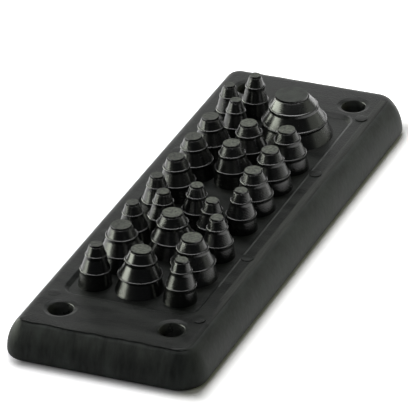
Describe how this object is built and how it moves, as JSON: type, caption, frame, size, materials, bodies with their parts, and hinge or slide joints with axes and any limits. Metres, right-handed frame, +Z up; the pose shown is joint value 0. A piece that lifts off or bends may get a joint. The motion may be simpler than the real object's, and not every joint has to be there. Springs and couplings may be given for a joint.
{
  "type": "cable entry plate",
  "caption": "Rectangular rubber cable entry plate: a screw-down border round a sunken field of hollow stepped cones, each cut open to seal round a cable.",
  "frame": {"origin": "middle of the underside, the face that seals on the panel", "axes": "+Y along the long side towards the wide cone, +X across, +Z up out of the panel"},
  "size_m": [0.0564, 0.1558, 0.0222],
  "materials": {
    "rubber": "satin"
  },
  "bodies": {
    "root": {"entry_plate": "rubber"}
  },
  "joints": []
}
